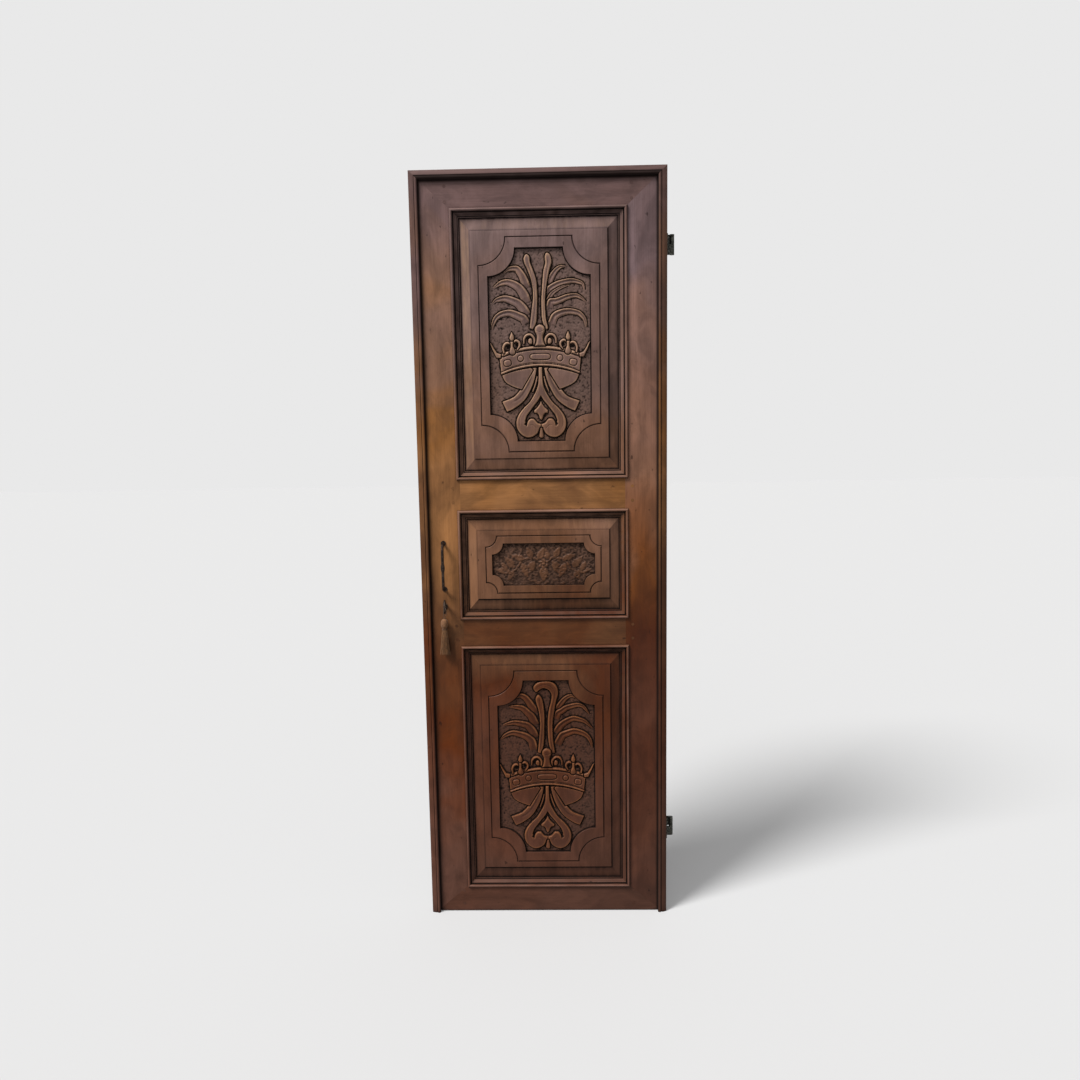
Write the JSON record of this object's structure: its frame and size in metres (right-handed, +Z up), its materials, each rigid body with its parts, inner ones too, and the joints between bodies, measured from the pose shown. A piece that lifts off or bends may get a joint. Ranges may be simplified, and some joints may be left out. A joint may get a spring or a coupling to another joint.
{
  "type": "carved wooden door",
  "caption": "Tall carved walnut door leaf with three moulded and carved panels, hung in its own thin moulded frame on pin hinges, with a bow pull, a rim lock, a key and a tassel.",
  "frame": {"origin": "on the floor line, in the middle of the frame's width, in the plane of the leaf's front face", "axes": "+X to the right seen from the front, +Y away from the viewer through the door, +Z up"},
  "size_m": [0.712, 0.1036, 2.11],
  "materials": {
    "frame_walnut": "dark stained walnut, satin wax, worn edges",
    "leaf_walnut": "stained walnut, straight grain, satin wax, worn",
    "moulding_walnut": "dark stained walnut, satin wax, rubbed beads",
    "panel_walnut": "carved walnut, dark in the recesses, rubbed on the high parts",
    "wrought_iron": "blackened wrought iron, worn",
    "lock_iron": "dark worn iron",
    "tassel_thread": "golden tan threads",
    "tassel_cord": "twisted golden tan cord"
  },
  "bodies": {
    "frame": {"frame_head": "frame_walnut", "frame_jamb_left": "frame_walnut", "frame_jamb_right": "frame_walnut", "pintle_upper": "wrought_iron", "pintle_lower": "wrought_iron", "pintle_nails": "wrought_iron", "keeper": "lock_iron", "keeper_nails": "lock_iron"},
    "leaf": {"stile_left": "leaf_walnut", "stile_right": "leaf_walnut", "bottom_rail": "leaf_walnut", "lower_mid_rail": "leaf_walnut", "upper_mid_rail": "leaf_walnut", "top_rail": "leaf_walnut", "joint_pegs": "leaf_walnut", "panel_upper": "panel_walnut", "panel_middle": "panel_walnut", "panel_lower": "panel_walnut", "moulding_upper_top": "moulding_walnut", "moulding_upper_right": "moulding_walnut", "moulding_upper_bottom": "moulding_walnut", "moulding_upper_left": "moulding_walnut", "moulding_middle_top": "moulding_walnut", "moulding_middle_right": "moulding_walnut", "moulding_middle_bottom": "moulding_walnut", "moulding_middle_left": "moulding_walnut", "moulding_lower_top": "moulding_walnut", "moulding_lower_right": "moulding_walnut", "moulding_lower_bottom": "moulding_walnut", "moulding_lower_left": "moulding_walnut", "hinge_leaf_upper": "wrought_iron", "hinge_leaf_lower": "wrought_iron", "hinge_nails": "wrought_iron", "pull_handle": "wrought_iron", "pull_roses": "wrought_iron", "pull_washers": "wrought_iron", "lock_plate": "lock_iron", "lock_case": "lock_iron", "lock_nails": "lock_iron", "bolt_spring": "lock_iron", "tassel_loop": "tassel_cord", "tassel_head": "tassel_thread", "tassel_band": "tassel_cord", "tassel_skirt": "tassel_thread"},
    "key": {"key": "lock_iron"},
    "bolt": {"lock_bolt": "lock_iron"}
  },
  "joints": [
    {"name": "leaf_swing", "type": "hinge", "parent": "frame", "child": "leaf", "pos_m": [0.361, 0.029, 1], "axis": [0, 0, -1], "range_deg": [0, 110]},
    {"name": "key_turn", "type": "hinge", "parent": "leaf", "child": "key", "pos_m": [-0.2785, 0, 0.928], "axis": [0, -1, 0], "range_deg": [0, 360]},
    {"name": "bolt_slide", "type": "slide", "parent": "leaf", "child": "bolt", "axis": [-1, 0, 0], "range_m": [0, 0.018]}
  ],
  "couplings": [
    {"joint": "key_turn", "follows": "bolt_slide", "rad_per_m": 349.07}
  ]
}
